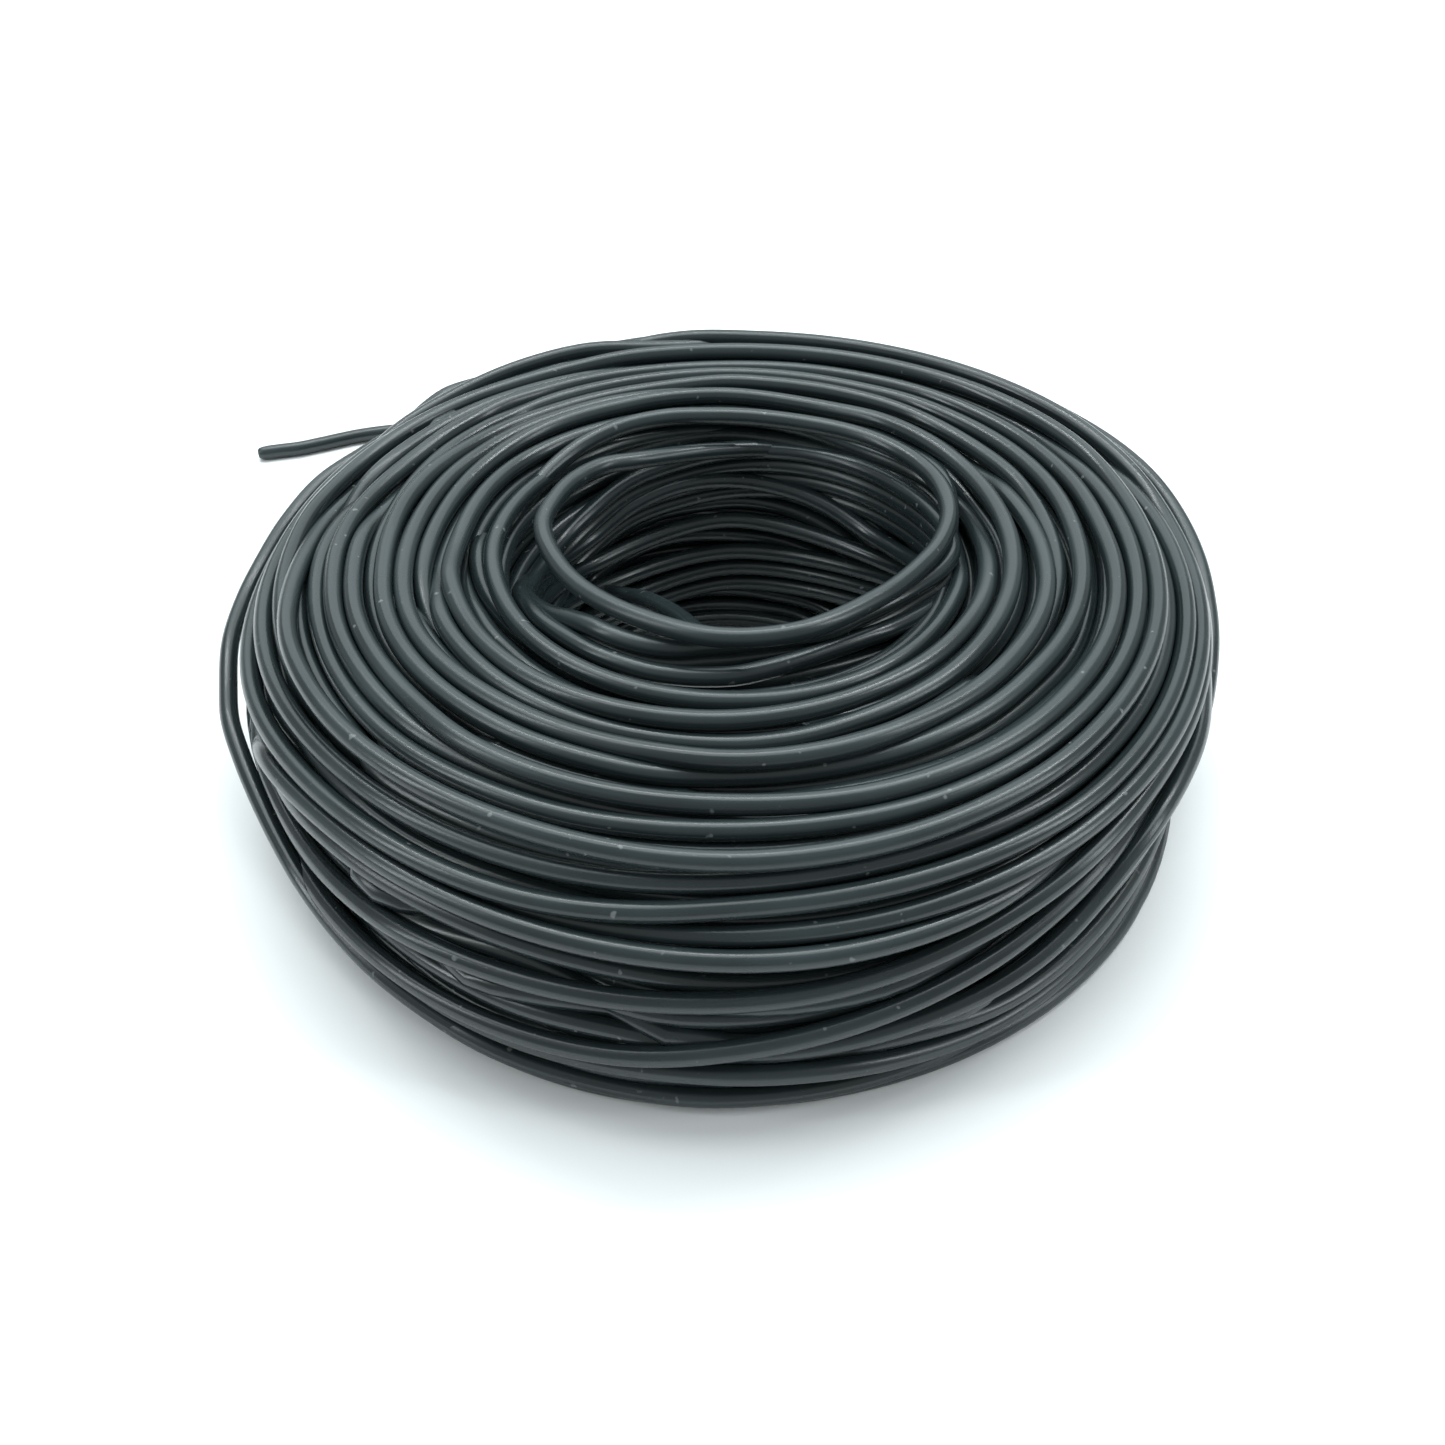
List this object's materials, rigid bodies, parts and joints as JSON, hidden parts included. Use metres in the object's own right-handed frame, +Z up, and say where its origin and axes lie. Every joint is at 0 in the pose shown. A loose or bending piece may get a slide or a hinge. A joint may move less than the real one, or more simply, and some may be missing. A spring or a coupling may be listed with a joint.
{
  "type": "coil of insulated electrical wire",
  "caption": "Loose flat-lying coil of black PVC-insulated single-core wire with an open bore, slack inner and outer turns and a short free end.",
  "frame": {"origin": "on the floor that the coil lies on, under the middle of the coil's outline without its free end; the wound body's axis stands at x 1.7 mm, y -3.2 mm", "axes": "+Z up along the coil's axis, +X to the right and +Y away from the viewer, with the free end lying at the back left"},
  "size_m": [0.2783, 0.2767, 0.0732],
  "materials": {
    "wire_jacket": "semi-gloss black PVC with fine lengthwise streaks and dust"
  },
  "bodies": {
    "root": {"wire_coil": "wire_jacket", "loose_inner_turn": "wire_jacket", "loose_outer_turn": "wire_jacket", "free_end": "wire_jacket"}
  },
  "joints": []
}
